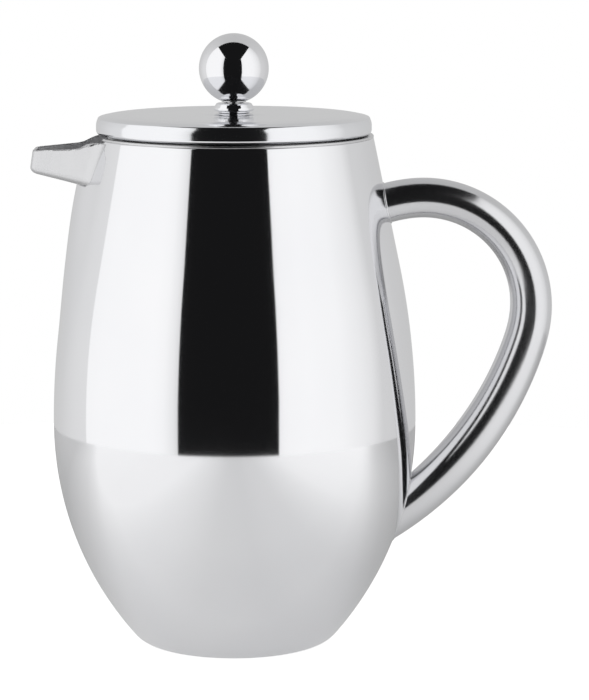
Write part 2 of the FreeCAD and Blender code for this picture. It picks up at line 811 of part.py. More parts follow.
faults = [item.Name for item in document.Objects if {"Invalid", "Error"} & set(item.State)]
faults += [piece.Label for piece in pieces if piece.Shape.isNull() or not piece.Shape.isValid()]
if faults:
    raise RuntimeError(f"these did not build: {faults}")

os.makedirs("parts", exist_ok=True)
for piece in pieces:
    piece.Shape.exportStep(f"parts/{piece.Label}.step")
    print(f"{piece.Label}: {len(piece.Shape.Solids)} solid, {piece.Shape.Volume / 1000:.2f} cm3")
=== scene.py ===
import math

import bmesh
import bpy
import numpy as np
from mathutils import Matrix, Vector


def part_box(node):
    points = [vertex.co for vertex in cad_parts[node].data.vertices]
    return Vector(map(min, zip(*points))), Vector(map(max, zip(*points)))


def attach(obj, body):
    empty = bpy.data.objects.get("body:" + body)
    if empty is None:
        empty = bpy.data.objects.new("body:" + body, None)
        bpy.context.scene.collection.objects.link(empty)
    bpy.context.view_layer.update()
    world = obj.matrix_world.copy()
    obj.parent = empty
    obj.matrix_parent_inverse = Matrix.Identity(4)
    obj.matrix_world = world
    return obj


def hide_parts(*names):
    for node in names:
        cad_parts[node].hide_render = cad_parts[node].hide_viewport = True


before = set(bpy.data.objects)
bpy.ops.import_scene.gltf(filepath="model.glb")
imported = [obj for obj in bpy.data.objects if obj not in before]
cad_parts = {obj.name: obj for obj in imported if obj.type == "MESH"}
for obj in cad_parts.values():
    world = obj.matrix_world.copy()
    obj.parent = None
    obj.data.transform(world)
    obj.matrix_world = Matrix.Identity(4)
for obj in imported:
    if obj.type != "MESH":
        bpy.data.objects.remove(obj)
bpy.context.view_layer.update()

print("frame loaded:", len(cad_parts), "nodes")

mm = 0.001


# Adds an object to the scene.
def addObject(name, data):
    thing = bpy.data.objects.new(name, data)
    bpy.context.scene.collection.objects.link(thing)
    return thing


# A mesh object from an (n, 3) array in millimetres and an (m, 4) array of corners; a quad whose corners
# repeat becomes a triangle when its doubles are merged.
def meshFromArrays(name, points, faces, smooth=True):
    mesh = bpy.data.meshes.new(name)
    mesh.from_pydata((points * mm).tolist(), [], faces.tolist())
    work = bmesh.new()
    work.from_mesh(mesh)
    bmesh.ops.remove_doubles(work, verts=work.verts, dist=2e-6)
    bmesh.ops.dissolve_degenerate(work, edges=work.edges, dist=1e-7)
    bmesh.ops.recalc_face_normals(work, faces=work.faces)
    work.to_mesh(mesh)
    work.free()
    mesh.polygons.foreach_set("use_smooth", np.full(len(mesh.polygons), smooth))
    mesh.update()
    return addObject(name, mesh)


# Corner numbers of the quads of a rows x columns grid of points, wrapped round where it closes.
def gridFaces(rows, columns, closeRows=False, closeColumns=False, offset=0):
    i = np.arange(rows if closeRows else rows - 1)
    j = np.arange(columns if closeColumns else columns - 1)
    i, j = np.meshgrid(i, j, indexing="ij")
    nextI, nextJ = (i + 1) % rows, (j + 1) % columns
    quads = np.stack([i * columns + j, i * columns + nextJ, nextI * columns + nextJ, nextI * columns + j], -1)
    return quads.reshape(-1, 4) + offset


# Points along a line of (across, up, radius) corners: each corner is a circular arc of its radius, and
# each straight stretch is sampled close to its ends and every few steps between.
def roundedLine(corners, step=0.6):
    corners = np.array(corners, float)
    spots, radii = corners[:, :2], corners[:, 2]
    out = [spots[:1]]
    for k in range(1, len(spots) - 1):
        back, ahead = spots[k - 1] - spots[k], spots[k + 1] - spots[k]
        back, ahead = back / np.hypot(*back), ahead / np.hypot(*ahead)
        radius = radii[k]
        turn = math.acos(np.clip(-back @ ahead, -1, 1))
        if radius <= 0 or turn < 1e-4:
            out.append(spots[k:k + 1])
            continue
        cut = radius * math.tan(turn / 2)
        middle = (back + ahead) / np.hypot(*(back + ahead))
        centre = spots[k] + middle * (radius / math.cos(turn / 2))
        first, last = spots[k] + back * cut - centre, spots[k] + ahead * cut - centre
        count = max(5, int(turn / 0.12))
        share = np.linspace(0, 1, count)[:, None]
        arc = (np.sin((1 - share) * turn) * first + np.sin(share * turn) * last) / math.sin(turn)
        out.append(centre + arc)
    out.append(spots[-1:])
    line = np.concatenate(out)
    lengths = np.hypot(*np.diff(line, axis=0).T)
    filled = [line[:1]]
    for k, length in enumerate(lengths):
        if length > 2.5 * step:
            inner = np.clip(np.array([0.08, 0.25]) / length, 0, 0.2)
            middle = np.linspace(0, 1, max(3, int(length / (4 * step))) + 1)[1:-1]
            share = np.unique(np.concatenate([inner, middle, 1 - inner]))[:, None]
            filled.append(line[k] + (line[k + 1] - line[k]) * share)
        filled.append(line[k + 1:k + 2])
    return np.concatenate(filled)


# Rows scaled to length 1.
def unitRows(rows):
    return rows / np.linalg.norm(rows, axis=1)[:, None]


# Directions along a closed curve, from the point before each point to the point after it.
def closedAlong(curve):
    return unitRows(np.roll(curve, -1, axis=0) - np.roll(curve, 1, axis=0))


# Every (across, up) point of a line at every angle: x = across cos, y = across sin, z = up.
def carriedRound(line, turn):
    across, up = line[:, None, 0], line[:, None, 1]
    points = np.stack([across * np.cos(turn), across * np.sin(turn), up + 0 * turn], -1)
    return points.reshape(-1, 3)


# A turned piece: the rounded outline carried round the Z axis.
def turned(name, corners, segments=192, closed=True, step=0.6):
    corners = list(corners)
    if closed:
        start = ((corners[0][0] + corners[1][0]) / 2, (corners[0][1] + corners[1][1]) / 2, 0)
        corners = [start] + corners[1:] + [corners[0], start]
    line = roundedLine(corners, step)
    if closed:
        line = line[:-1]
    points = carriedRound(line, np.linspace(0, 2 * np.pi, segments, endpoint=False))
    return meshFromArrays(name, points, gridFaces(len(line), segments, closeRows=closed, closeColumns=True))


# A copy of a CAD node's mesh with its corners joined and its edges shaded smooth up to an angle.
def mergedCopy(name, node, angle=30):
    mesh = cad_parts[node].data.copy()
    mesh.name = name
    work = bmesh.new()
    work.from_mesh(mesh)
    bmesh.ops.remove_doubles(work, verts=work.verts, dist=1e-6)
    for edge in work.edges:
        edge.smooth = len(edge.link_faces) == 2 and edge.calc_face_angle(0) < math.radians(angle)
    for face in work.faces:
        face.smooth = True
    work.to_mesh(mesh)
    work.free()
    mesh.materials.clear()
    return addObject(name, mesh)


# 0 below low, 1 above high, and a smooth S between.
def softStep(x, low, high):
    t = np.clip((x - low) / (high - low), 0, 1)
    return t * t * (3 - 2 * t)


# A small live bevel on the edges that are steeper than an angle; the width is in millimetres.
def softenEdges(piece, width, segments, degrees):
    bevel = piece.modifiers.new("softEdge", "BEVEL")
    bevel.width = width * mm
    bevel.segments = segments
    bevel.limit_method = "ANGLE"
    bevel.angle_limit = math.radians(degrees)


# Gives a piece its material and its body, and hides the CAD nodes that it stands for.
def place(piece, body, slotName, material, *nodes):
    piece.data.materials.clear()
    piece.data.materials.append(material)
    if nodes:
        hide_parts(*nodes)
    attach(piece, body)
    return piece


# An empty shader group with named inputs {name: (kind, value)} and outputs {name: kind}.
def newGroup(name, inputs, outputs):
    group = bpy.data.node_groups.new(name, "ShaderNodeTree")
    for label, (kind, value) in inputs.items():
        socket = group.interface.new_socket(label, in_out="INPUT", socket_type=kind)
        socket.default_value = value
    for label, kind in outputs.items():
        group.interface.new_socket(label, in_out="OUTPUT", socket_type=kind)
    return group, group.nodes.new("NodeGroupInput"), group.nodes.new("NodeGroupOutput")


# A Math node fed by sockets or plain numbers.
def math2(tree, kind, a, b=None, c=None):
    node = tree.nodes.new("ShaderNodeMath")
    node.operation = kind
    for slot, value in enumerate((a, b, c)):
        if value is None:
            continue
        if hasattr(value, "links"):
            tree.links.new(value, node.inputs[slot])
        else:
            node.inputs[slot].default_value = value
    return node.outputs[0]


# Noise at a scale, fed with coordinates; further settings by name.
def noiseOf(tree, vector, scale, **settings):
    node = tree.nodes.new("ShaderNodeTexNoise")
    node.inputs["Scale"].default_value = scale
    for label, value in settings.items():
        node.inputs[label].default_value = value
    tree.links.new(vector, node.inputs["Vector"])
    return node.outputs["Fac"]


# A colour ramp between two (position, colour) ends.
def rampBetween(tree, value, *ends):
    ramp = tree.nodes.new("ShaderNodeValToRGB")
    for element, (position, colour) in zip(ramp.color_ramp.elements, ends):
        element.position = position
        element.color = (*colour, 1)
    tree.links.new(value, ramp.inputs["Fac"])
    return ramp.outputs["Color"]


# A colour mix: a at 0 and b at 1; each is a socket or a colour.
def mixOf(tree, factor, a, b, blend="MIX"):
    node = tree.nodes.new("ShaderNodeMix")
    node.data_type = "RGBA"
    node.blend_type = blend
    tree.links.new(factor, node.inputs["Factor"])
    for label, value in (("A", a), ("B", b)):
        if hasattr(value, "links"):
            tree.links.new(value, node.inputs[label])
        else:
            node.inputs[label].default_value = (*value, 1)
    return node.outputs["Result"]


# 1 where the camera sees a thing itself, 0 in reflections and other light.
def seenByCamera(tree):
    return tree.nodes.new("ShaderNodeLightPath").outputs["Is Camera Ray"]


# A new material with its tree, its Principled shader and the Object coordinates.
def newMaterial(name):
    material = bpy.data.materials.new(name)
    material.use_nodes = True
    tree = material.node_tree
    vector = tree.nodes.new("ShaderNodeTexCoord").outputs["Object"]
    return material, tree, tree.nodes["Principled BSDF"], vector


# A Bump node from a height to the shader's Normal.
def raiseBy(tree, shader, height, strength, distance):
    lift = tree.nodes.new("ShaderNodeBump")
    lift.inputs["Strength"].default_value = strength
    lift.inputs["Distance"].default_value = distance
    tree.links.new(height, lift.inputs["Height"])
    tree.links.new(lift.outputs["Normal"], shader.inputs["Normal"])


# A grey ramp through (place, share) stops, fed with one coordinate.
def rampAlong(tree, value, stops):
    first, last = stops[0][0], stops[-1][0]
    spread = tree.nodes.new("ShaderNodeMapRange")
    spread.inputs["From Min"].default_value = first
    spread.inputs["From Max"].default_value = last
    tree.links.new(value, spread.inputs["Value"])
    ramp = tree.nodes.new("ShaderNodeValToRGB")
    while len(ramp.color_ramp.elements) < len(stops):
        ramp.color_ramp.elements.new(0.5)
    for element, (spot, share) in zip(ramp.color_ramp.elements, stops):
        element.position = (spot - first) / (last - first)
        element.color = (share, share, share, 1)
    tree.links.new(spread.outputs["Result"], ramp.inputs["Fac"])
    return ramp.outputs["Color"]


# Hand-polished sheet: faint waviness, hairlines and patches that are a little less bright.
def makePolishGroup():
    group, enter, leave = newGroup(
        "polishedSheet",
        {"Vector": ("NodeSocketVector", (0, 0, 0)), "Roughness": ("NodeSocketFloat", 0.05),
         "Uneven": ("NodeSocketFloat", 0.3), "Wave": ("NodeSocketFloat", 0.1),
         "Color": ("NodeSocketColor", (0.8, 0.8, 0.8, 1))},
        {"Color": "NodeSocketColor", "Roughness": "NodeSocketFloat", "Height": "NodeSocketFloat"})
    link = group.links.new
    patch = noiseOf(group, enter.outputs["Vector"], 22, Detail=3)
    stretch = group.nodes.new("ShaderNodeMapping")
    stretch.inputs["Scale"].default_value = (1, 1, 0.06)
    link(enter.outputs["Vector"], stretch.inputs["Vector"])
    hair = noiseOf(group, stretch.outputs["Vector"], 900, Detail=2)
    swing = math2(group, "SUBTRACT", patch, 0.5)
    scratch = math2(group, "SUBTRACT", hair, 0.5)
    both = math2(group, "MULTIPLY_ADD", scratch, 0.35, swing)
    factor = math2(group, "MULTIPLY_ADD", both, enter.outputs["Uneven"], 1.0)
    link(math2(group, "MULTIPLY", enter.outputs["Roughness"], factor), leave.inputs["Roughness"])
    tint = mixOf(group, patch, enter.outputs["Color"], (0.93, 0.935, 0.95), "MULTIPLY")
    link(tint, leave.inputs["Color"])
    wave = noiseOf(group, enter.outputs["Vector"], 38, Detail=1)
    link(math2(group, "MULTIPLY", wave, enter.outputs["Wave"]), leave.inputs["Height"])
    return group


# Fine lines left by turning or brushing round the axis, as rings of slightly different height.
def makeTurningGroup():
    group, enter, leave = newGroup(
        "turningLines",
        {"Vector": ("NodeSocketVector", (0, 0, 0)), "Lines": ("NodeSocketFloat", 2500),
         "Roughness": ("NodeSocketFloat", 0.28), "Depth": ("NodeSocketFloat", 1.0),
         "Color": ("NodeSocketColor", (0.6, 0.6, 0.6, 1))},
        {"Color": "NodeSocketColor", "Roughness": "NodeSocketFloat", "Height": "NodeSocketFloat"})
    link = group.links.new
    split = group.nodes.new("ShaderNodeSeparateXYZ")
    link(enter.outputs["Vector"], split.inputs[0])
    square = math2(group, "MULTIPLY", split.outputs["X"], split.outputs["X"])
    squares = math2(group, "MULTIPLY_ADD", split.outputs["Y"], split.outputs["Y"], square)
    radius = math2(group, "SQRT", squares)
    ring = math2(group, "ADD", radius, split.outputs["Z"])
    angle = math2(group, "ARCTAN2", split.outputs["Y"], split.outputs["X"])
    join = group.nodes.new("ShaderNodeCombineXYZ")
    link(math2(group, "MULTIPLY", ring, enter.outputs["Lines"]), join.inputs["X"])
    link(math2(group, "MULTIPLY", math2(group, "SINE", angle), 0.8), join.inputs["Y"])
    link(math2(group, "MULTIPLY", math2(group, "COSINE", angle), 0.8), join.inputs["Z"])
    noise = noiseOf(group, join.outputs[0], 1, Detail=4, Roughness=0.7)
    swing = math2(group, "SUBTRACT", noise, 0.5)
    link(math2(group, "MULTIPLY_ADD", swing, 0.35, enter.outputs["Roughness"]), leave.inputs["Roughness"])
    link(math2(group, "MULTIPLY", noise, enter.outputs["Depth"]), leave.inputs["Height"])
    shade = mixOf(group, noise, enter.outputs["Color"], (0.82, 0.82, 0.83), "MULTIPLY")
    link(shade, leave.inputs["Color"])
    return group


# Plain-woven wire cloth: over and under waves in X and Y at one pitch.
def makeWeaveGroup():
    group, enter, leave = newGroup(
        "wireWeave",
        {"Vector": ("NodeSocketVector", (0, 0, 0)), "Pitch": ("NodeSocketFloat", 0.0005)},
        {"Height": "NodeSocketFloat", "Wire": "NodeSocketFloat"})
    link = group.links.new
    split = group.nodes.new("ShaderNodeSeparateXYZ")
    link(enter.outputs["Vector"], split.inputs[0])
    turns = math2(group, "DIVIDE", math.pi, enter.outputs["Pitch"])
    waveX = math2(group, "SINE", math2(group, "MULTIPLY", split.outputs["X"], turns))
    waveY = math2(group, "SINE", math2(group, "MULTIPLY", split.outputs["Y"], turns))
    wireX = math2(group, "ABSOLUTE", waveX)
    wireY = math2(group, "ABSOLUTE", waveY)
    link(math2(group, "MAXIMUM", wireX, wireY), leave.inputs["Wire"])
    over = math2(group, "MULTIPLY", math2(group, "MULTIPLY", waveX, waveY), 0.4)
    link(math2(group, "ADD", math2(group, "MAXIMUM", wireX, wireY), over), leave.inputs["Height"])
    return group


polishGroup = makePolishGroup()
turningGroup = makeTurningGroup()
weaveGroup = makeWeaveGroup()


# A metal made from one of the groups: its colour, roughness and height feed the shader.
def metal(name, group, values, bump, distance):
    material, tree, shader, vector = newMaterial(name)
    shader.inputs["Metallic"].default_value = 1.0
    effect = tree.nodes.new("ShaderNodeGroup")
    effect.node_tree = group
    tree.links.new(vector, effect.inputs["Vector"])
    for label, value in values.items():
        effect.inputs[label].default_value = value
    tree.links.new(effect.outputs["Color"], shader.inputs["Base Color"])
    tree.links.new(effect.outputs["Roughness"], shader.inputs["Roughness"])
    raiseBy(tree, shader, effect.outputs["Height"], bump, distance)
    return material


# what each metal looks like: its group, colour, roughness and unevenness, then the bump's strength and depth
finishes = {
    "mirrorSteel": (polishGroup, {"Color": (0.86, 0.86, 0.87, 1), "Roughness": 0.055,
                                  "Uneven": 0.5, "Wave": 1.0}, 0.05, 0.0006),
    "handleSteel": (polishGroup, {"Color": (0.74, 0.74, 0.75, 1), "Roughness": 0.17,
                                  "Uneven": 0.6, "Wave": 1.0}, 0.05, 0.0006),
    "beakSteel": (polishGroup, {"Color": (0.68, 0.68, 0.685, 1), "Roughness": 0.24,
                                "Uneven": 1.0, "Wave": 1.0}, 0.08, 0.0006),
    "troughSteel": (polishGroup, {"Color": (0.86, 0.86, 0.865, 1), "Roughness": 0.62,
                                  "Uneven": 1.0, "Wave": 1.0}, 0.08, 0.0006),
    "lidSteel": (polishGroup, {"Color": (0.84, 0.845, 0.86, 1), "Roughness": 0.1,
                               "Uneven": 0.5, "Wave": 1.0}, 0.04, 0.0006),
    "satinSteel": (turningGroup, {"Color": (0.72, 0.72, 0.725, 1), "Roughness": 0.24,
                                  "Lines": 2600, "Depth": 1.0}, 0.25, 0.00006),
    "wireSteel": (polishGroup, {"Color": (0.74, 0.74, 0.75, 1), "Roughness": 0.16,
                                "Uneven": 0.8, "Wave": 0.4}, 0.05, 0.0002),
}
(mirrorSteel, handleSteel, beakSteel, troughSteel, lidSteel, satinSteel,
 wireSteel) = [metal(name, *finish) for name, finish in finishes.items()]


# Woven screen: bright wires, and the gaps between them painted near-black as painted shade where the cloth is
# open.
def makeScreenMaterial():
    material, tree, shader, vector = newMaterial("wovenScreen")
    shader.inputs["Roughness"].default_value = 0.34
    shader.inputs["Metallic"].default_value = 1.0
    weave = tree.nodes.new("ShaderNodeGroup")
    weave.node_tree = weaveGroup
    weave.inputs["Pitch"].default_value = 0.0006
    tree.links.new(vector, weave.inputs["Vector"])
    # the gaps between the wires get painted shade, near-black
    colour = rampBetween(tree, weave.outputs["Wire"], (0.62, (0.02, 0.02, 0.02)), (0.86, (0.62, 0.62, 0.62)))
    tree.links.new(colour, shader.inputs["Base Color"])
    raiseBy(tree, shader, weave.outputs["Height"], 0.6, 0.0001)
    return material


# Natural nylon: creamy, slightly waxy, with a fine moulded grain.
def makeNylon():
    material, tree, shader, vector = newMaterial("naturalNylon")
    shader.inputs["Subsurface Weight"].default_value = 0.15
    shader.inputs["Subsurface Radius"].default_value = (0.002, 0.0018, 0.0014)
    grain = noiseOf(tree, vector, 1500)
    colour = rampBetween(tree, grain, (0, (0.74, 0.72, 0.66)), (1, (0.84, 0.83, 0.78)))
    tree.links.new(colour, shader.inputs["Base Color"])
    rough = tree.nodes.new("ShaderNodeMapRange")
    rough.inputs["To Min"].default_value = 0.38
    rough.inputs["To Max"].default_value = 0.52
    tree.links.new(grain, rough.inputs["Value"])
    tree.links.new(rough.outputs["Result"], shader.inputs["Roughness"])
    raiseBy(tree, shader, grain, 0.1, 0.00005)
    return material


screenSteel = makeScreenMaterial()
nylon = makeNylon()
print("materials made")


# The lowest place of a CAD node along an axis, in millimetres.
def low(node, axis):
    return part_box(node)[0][axis] / mm


# The highest place of a CAD node along an axis, in millimetres.
def high(node, axis):
    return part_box(node)[1][axis] / mm


rimHeight = high("inner_vessel", 2)
rimRadius = high("inner_vessel", 1)
bellyRadius = high("outer_shell", 1)
lidBottom = low("lid_cap", 2)
lidRadius = high("lid_cap", 1)
collarTop = high("lid_collar", 2)
knobBottom = low("knob_ball", 2)
knobTop = high("knob_ball", 2)
beakTip = -low("spout", 0)

shellShape = {
    "bellyHeight": 80.0,      # height of the widest place
    "lowerBow": 118.0,        # radius of the wall's bow below it
    "upperBow": 280.0,        # and above it
    "bowTop": 137.0,          # the neck is straight above this
    "footRound": 10.0,        # radius between wall and base
    "wall": 0.8,
    "smooth": 5.0,            # reach of the blend between the bows
    "pouch": 3.0,             # how far the wall swells under the beak
    "pouchFoot": 112.0,       # where the swelling starts
    "pouchTop": 164.0,        # where it is full
}


# Radius against height: the two bows and the straight neck, blended by a short moving average.
def makeWallTable():
    s = shellShape
    height = np.arange(-30, 230, 0.25)
    lower = bellyRadius - s["lowerBow"] + np.sqrt(
        np.maximum(s["lowerBow"] ** 2 - (height - s["bellyHeight"]) ** 2, 1))
    upper = bellyRadius - s["upperBow"] + np.sqrt(s["upperBow"] ** 2 - (height - s["bellyHeight"]) ** 2)
    rise = s["bowTop"] - s["bellyHeight"]
    run = math.sqrt(s["upperBow"] ** 2 - rise ** 2)
    neck = bellyRadius - s["upperBow"] + run - (height - s["bowTop"]) * rise / run
    radius = np.where(height < s["bellyHeight"], lower, np.where(height < s["bowTop"], upper, neck))
    reach = int(s["smooth"] / 0.25)
    weight = np.hanning(2 * reach + 1)
    blended = np.convolve(radius, weight / weight.sum(), mode="same")
    inside = (height > 10) & (height < 200)
    return height, np.where(inside, blended, radius)


wallHeights, wallRadii = makeWallTable()


# Outside radius of the shell at a height, without the swelling.
def wallRadius(height):
    return np.interp(height, wallHeights, wallRadii)


# Extra radius under the beak. turn is the angle from the beak's side, in radians.
def pouch(turn, height):
    s = shellShape
    across = np.cos(np.clip(np.abs(turn) / math.radians(27), 0, 1) * math.pi / 2) ** 2
    return s["pouch"] * across * softStep(height, s["pouchFoot"], s["pouchTop"])


beakShape = {
    "tipHalf": 10.0,          # half width at the tip
    "rootHalf": 19.6,         # half width at the wall
    "lean": 3.0,              # how far the sides lean in over their depth
    "frontLean": 2.2,         # how far the front leans out to its foot
    "footTip": 13.2,          # underside below the rim, at the tip
    "footRoot": 16.9,         # and beside the pot
    "topTip": 5.2,            # edge below the rim, at the tip
    "topRoot": 3.6,           # and beside the pot
    "rimDip": 1.6,            # and where it meets the rim
    "sweep": 6.5,             # reach of the sweep from the rim down to the edge
    "corner": 3.2,            # radius of the tip's corners
    "edgeRound": 2.6,         # radius along the underside
    "flare": 9.0,             # radius of the flare into the wall
    "wall": 0.9,
}
boreRadius = rimRadius - 3.9
beakReach = beakTip - rimRadius


# Height of the underside at a distance from the axis.
def beakFoot(x):
    b = beakShape
    return rimHeight - b["footTip"] - (beakTip - x) * (b["footRoot"] - b["footTip"]) / beakReach


# Height of the open edge: level with the rim at the wall, then swept down and along to the tip.
def beakEdge(x):
    b = beakShape
    along = b["topRoot"] + (b["topTip"] - b["topRoot"]) * np.clip((x - rimRadius) / beakReach, 0, 1)
    swept = softStep(x, rimRadius - 1.0, rimRadius + b["sweep"])
    return rimHeight - b["rimDip"] - (along - b["rimDip"]) * swept


# The straight side at a depth below the rim: a point, its direction and its outward normal.
def beakLine(depth, inset):
    b = beakShape
    leanIn = b["lean"] * depth / b["footRoot"]
    leanOut = b["frontLean"] * (b["footTip"] - depth) / b["footTip"]
    tip = beakTip - leanOut - inset
    tipHalf = b["tipHalf"] - leanIn - inset
    slope = (b["rootHalf"] - b["tipHalf"]) / beakReach
    size = math.hypot(1, slope)
    return tip, tipHalf, slope / size, 1 / size


# Level outline of one side of the beak, pointing along +X, for arrays of share and depth. share 0 to 1
# is the flare (or its straight stand-in inside), 1 to 2 the side, 2 to 3 the tip's corner and 3 to 4
# half of the front.
def beakOutline(share, depth, inset, flared):
    b = beakShape
    tip, tipHalf, normalX, normalY = beakLine(depth, inset)
    corner = np.maximum(b["corner"] - inset, 0.3)
    lineAt = lambda x: tipHalf + (tip - x) * normalX / normalY
    # the corner's circle touches the side and the front
    cornerX = tip - corner
    cornerY = (lineAt(cornerX) * normalY - corner) / normalY
    touchX, touchY = cornerX + corner * normalX, cornerY + corner * normalY
    reach = rimRadius + 0 * depth
    if flared:
        wall = wallRadius(rimHeight - depth)
        radius = b["flare"]
        gap = normalX * tip + normalY * tipHalf + radius
        slide = np.sqrt(np.maximum((wall + radius) ** 2 - gap ** 2, 0))
        centreX, centreY = gap * normalX + slide * normalY, gap * normalY - slide * normalX
        endX, endY = centreX - radius * normalX, centreY - radius * normalY
        startX, startY = centreX * wall / (wall + radius), centreY * wall / (wall + radius)
        angle0 = np.arctan2(startY - centreY, startX - centreX)
        angle1 = np.arctan2(endY - centreY, endX - centreX)
        angle0 = np.where(angle0 > angle1, angle0 - 2 * np.pi, angle0)
        t = np.clip(share, 0, 1)
        angle = angle0 + (angle1 - angle0) * t
        flareX, flareY = centreX + radius * np.cos(angle), centreY + radius * np.sin(angle)
    else:
        t = np.clip(share, 0, 1)
        startX = np.full_like(depth, boreRadius * 0.915)
        endX = reach + 4.0
        endY = lineAt(endX)
        flareX = startX + (endX - startX) * t
        flareY = lineAt(flareX)
    t = np.clip(share - 1, 0, 1)
    sideX, sideY = endX + (touchX - endX) * t, endY + (touchY - endY) * t
    t = np.clip(share - 2, 0, 1)
    angle = np.arctan2(normalY, normalX) * (1 - t)
    roundX, roundY = cornerX + corner * np.cos(angle), cornerY + corner * np.sin(angle)
    t = np.clip(share - 3, 0, 1)
    frontX, frontY = tip + 0 * t, cornerY * (1 - t)
    x = np.where(share <= 1, flareX, np.where(share <= 2, sideX, np.where(share <= 3, roundX, frontX)))
    y = np.where(share <= 1, flareY, np.where(share <= 2, sideY, np.where(share <= 3, roundY, frontY)))
    return x, y


# One side of the trough as a grid: down the wall, round the lower edge and across to the keel.
def beakHull(inset, flared):
    b = beakShape
    share = np.concatenate([
        np.linspace(0, 1, 22)[:-1], np.linspace(1, 2, 20)[:-1], np.linspace(2, 3, 12)[:-1],
        np.linspace(3, 4, 8)])
    down = np.linspace(0, 1, 18)
    bend = np.linspace(0, np.pi / 2, 9)[1:]
    floor = np.linspace(0, 1, 12)[1:]
    edgeRound = b["edgeRound"] - inset
    nominalX, _ = beakOutline(share, np.full_like(share, 7.0), inset, flared)
    top = beakEdge(nominalX)
    foot = beakFoot(nominalX) + inset
    wallFoot = foot + edgeRound
    wallZ = top + (wallFoot - top) * down[:, None]
    bendZ = foot + edgeRound * (1 - np.sin(bend))[:, None]
    inward = np.concatenate([np.zeros(len(down)), edgeRound * (1 - np.cos(bend))])[:, None]
    z = np.concatenate([wallZ, bendZ])
    x, y = beakOutline(share + 0 * z, rimHeight - z, inset + inward, flared)
    lastX, lastY, lastZ = x[-1], y[-1], z[-1]
    floorX = lastX + 0 * floor[:, None]
    floorY = lastY * (1 - floor)[:, None]
    floorZ = lastZ + 0 * floor[:, None]
    return np.stack([np.concatenate([x, floorX]), np.concatenate([y, floorY]),
                     np.concatenate([z, floorZ])], -1)


# The trough as a closed form: outer hull, inner hull, and strips that join their open edges.
def makeBeak():
    outer, inner = beakHull(0.0, True), beakHull(beakShape["wall"], False)
    rows, columns = outer.shape[:2]
    points, faces = [], []
    for side in (1, -1):
        flip = np.array([-1, side, 1])
        start = sum(len(p) for p in points)
        points += [(outer * flip).reshape(-1, 3), (inner * flip).reshape(-1, 3)]
        innerStart = start + rows * columns
        faces += [gridFaces(rows, columns, offset=start), gridFaces(rows, columns, offset=innerStart)]
        edges = [np.arange(columns), np.arange(rows) * columns]
        for edge in edges:
            faces.append(np.stack([start + edge[:-1], start + edge[1:],
                                   innerStart + edge[1:], innerStart + edge[:-1]], -1))
    points = np.concatenate(points)
    # nothing stands inside the bore, where the filter passes
    clear = np.maximum(1, (boreRadius + 0.05) / np.hypot(points[:, 0], points[:, 1]))
    points[:, :2] *= clear[:, None]
    return meshFromArrays("beakTrough", points, np.concatenate(faces))


beak = place(makeBeak(), "pot", "polished_steel", beakSteel, "spout")
softenEdges(beak, 0.28, 3, 50)
print("beak made")


# Angles right round the pot, closer together near the beak at 180 degrees.
def turnsAround(count, crowding):
    u = np.linspace(-1, 1, count, endpoint=False)
    return np.pi * (crowding * u + (1 - crowding) * u ** 3)


# True where a point of a wall lies inside the trough, margin in from its sides and floor.
def inNotch(points, margin):
    x, y, z = -points[..., 0], np.abs(points[..., 1]), points[..., 2]
    depth = rimHeight - z
    tip, tipHalf, normalX, normalY = beakLine(depth, 0.0)
    side = tipHalf + (tip - x) * normalX / normalY
    # the trough's lower edges are round, so the notch is too
    bend = beakShape["edgeRound"]
    overSide, underFoot = y - (side - bend), beakFoot(x) + bend - z
    outside = (overSide > 0) & (underFoot > 0) & (np.hypot(overSide, underFoot) > bend - margin)
    return (x > 0) & (y < side - margin) & (z > beakFoot(x) + margin) & ~outside


# Gives the faces inside the trough their own material: those well within its sides, foot and tip.
def brushInside():
    beak.data.materials.append(troughSteel)
    middles = np.zeros(len(beak.data.polygons) * 3, dtype=np.float32)
    beak.data.polygons.foreach_get("center", middles)
    middles = middles.reshape(-1, 3) / mm
    tip = beakLine(rimHeight - middles[:, 2], 0.0)[0]
    inside = inNotch(middles, 0.6) & (-middles[:, 0] < tip - 0.6)
    beak.data.polygons.foreach_set("material_index", inside.astype(np.int32))
    return inside.mean()


print("share of the trough's faces brushed: %.2f" % brushInside())


# The outer wall: radius = wall radius + swelling under the beak, from the flat ring, round the foot and up
# to the lip; the quads that lie in the beak's notch are left out.
def makeShell():
    s = shellShape
    turns = turnsAround(300, 0.32)
    lip = rimHeight - 0.8
    heights = np.concatenate([np.linspace(4.2, 80, 70), np.linspace(81, 160, 60),
                              np.linspace(160.45, lip, 52)])     # closest beside the beak
    radii = wallRadius(heights)
    # the foot: a round from the flat ring to the wall
    reach = s["lowerBow"] - s["footRound"]
    centre = bellyRadius - s["lowerBow"] + math.sqrt(reach ** 2 - (s["bellyHeight"] - s["footRound"]) ** 2)
    aim = math.atan2(s["footRound"] - s["bellyHeight"], centre - bellyRadius + s["lowerBow"])
    swing = np.linspace(-np.pi / 2, aim, 22)
    footR = centre + s["footRound"] * np.cos(swing)
    footZ = s["footRound"] + s["footRound"] * np.sin(swing)
    ringR = np.linspace(high("base_cap", 1) - 2.0, centre, 8)[:-1]
    lineR = np.concatenate([ringR, footR, radii])
    lineZ = np.concatenate([0 * ringR, footZ, heights])
    keep = np.concatenate([np.ones(len(ringR) + len(footR), bool), heights > footZ[-1] + 0.5])
    lineR, lineZ = lineR[keep], lineZ[keep]
    radius = lineR[:, None] + pouch(turns[None], lineZ[:, None])
    angle = turns + np.pi
    points = np.stack([radius * np.cos(angle), radius * np.sin(angle), lineZ[:, None] + 0 * radius], -1)
    faces = gridFaces(len(lineR), len(turns), closeColumns=True)
    flat = points.reshape(-1, 3)
    faces = faces[~inNotch(flat, -1.2)[faces].all(axis=1)]
    return meshFromArrays("outerWall", flat, faces)


